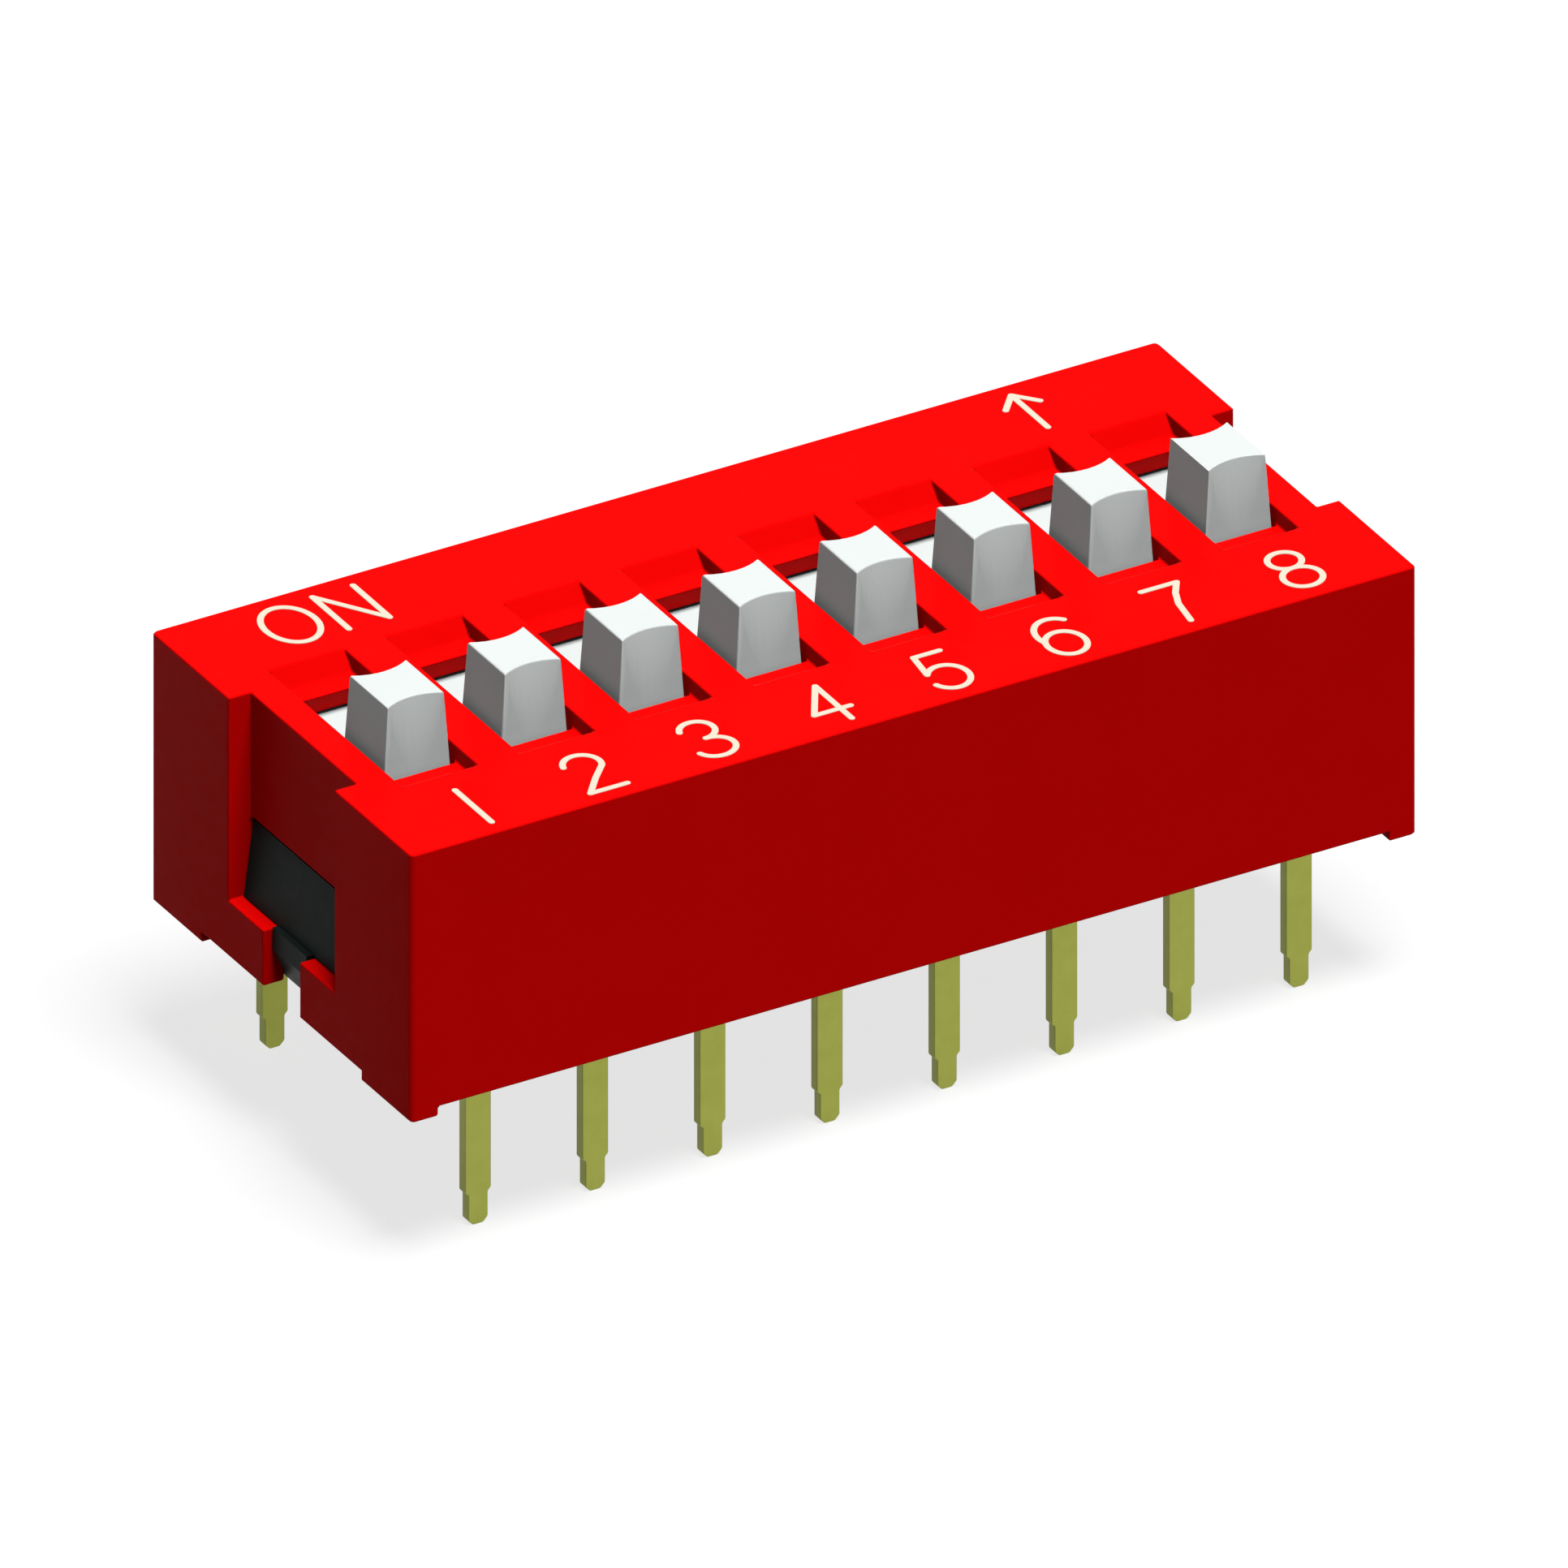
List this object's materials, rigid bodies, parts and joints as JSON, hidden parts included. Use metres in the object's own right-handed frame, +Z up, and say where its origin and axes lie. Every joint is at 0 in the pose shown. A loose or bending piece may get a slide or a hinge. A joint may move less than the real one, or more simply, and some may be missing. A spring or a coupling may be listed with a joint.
{
  "type": "dip switch",
  "caption": "Slide DIP switch: red housing latched over a black base, raised white sliders in recessed slots along its top, and rows of through-hole pins.",
  "frame": {"origin": "centre of the plane that the housing's corner feet stand on, which is the face of the circuit board", "axes": "+X runs along the row of positions from the first to the last, +Y points to the ON side, +Z points up out of the board"},
  "size_m": [0.0218, 0.0098, 0.0102],
  "materials": {
    "housing_red": "moulded",
    "base_black": "moulded",
    "actuator_white": "moulded",
    "contact_gold": "gold-plated spring strip",
    "terminal_metal": "plated strip"
  },
  "bodies": {
    "case": {"housing": "housing_red", "base": "base_black", "terminal_1": "terminal_metal", "terminal_2": "terminal_metal", "terminal_3": "terminal_metal", "terminal_4": "terminal_metal", "terminal_5": "terminal_metal", "terminal_6": "terminal_metal", "terminal_7": "terminal_metal", "terminal_8": "terminal_metal", "terminal_9": "terminal_metal", "terminal_10": "terminal_metal", "terminal_11": "terminal_metal", "terminal_12": "terminal_metal", "terminal_13": "terminal_metal", "terminal_14": "terminal_metal", "terminal_15": "terminal_metal", "terminal_16": "terminal_metal"},
    "slider_1": {"actuator_1": "actuator_white", "contact_1": "contact_gold"},
    "slider_2": {"actuator_2": "actuator_white", "contact_2": "contact_gold"},
    "slider_3": {"actuator_3": "actuator_white", "contact_3": "contact_gold"},
    "slider_4": {"actuator_4": "actuator_white", "contact_4": "contact_gold"},
    "slider_5": {"actuator_5": "actuator_white", "contact_5": "contact_gold"},
    "slider_6": {"actuator_6": "actuator_white", "contact_6": "contact_gold"},
    "slider_7": {"actuator_7": "actuator_white", "contact_7": "contact_gold"},
    "slider_8": {"actuator_8": "actuator_white", "contact_8": "contact_gold"}
  },
  "joints": [
    {"name": "switch_1", "type": "slide", "parent": "case", "child": "slider_1", "axis": [0, 1, 0], "range_m": [0, 0.00175]},
    {"name": "switch_2", "type": "slide", "parent": "case", "child": "slider_2", "axis": [0, 1, 0], "range_m": [0, 0.00175]},
    {"name": "switch_3", "type": "slide", "parent": "case", "child": "slider_3", "axis": [0, 1, 0], "range_m": [0, 0.00175]},
    {"name": "switch_4", "type": "slide", "parent": "case", "child": "slider_4", "axis": [0, 1, 0], "range_m": [0, 0.00175]},
    {"name": "switch_5", "type": "slide", "parent": "case", "child": "slider_5", "axis": [0, 1, 0], "range_m": [0, 0.00175]},
    {"name": "switch_6", "type": "slide", "parent": "case", "child": "slider_6", "axis": [0, 1, 0], "range_m": [0, 0.00175]},
    {"name": "switch_7", "type": "slide", "parent": "case", "child": "slider_7", "axis": [0, 1, 0], "range_m": [0, 0.00175]},
    {"name": "switch_8", "type": "slide", "parent": "case", "child": "slider_8", "axis": [0, 1, 0], "range_m": [0, 0.00175]}
  ]
}
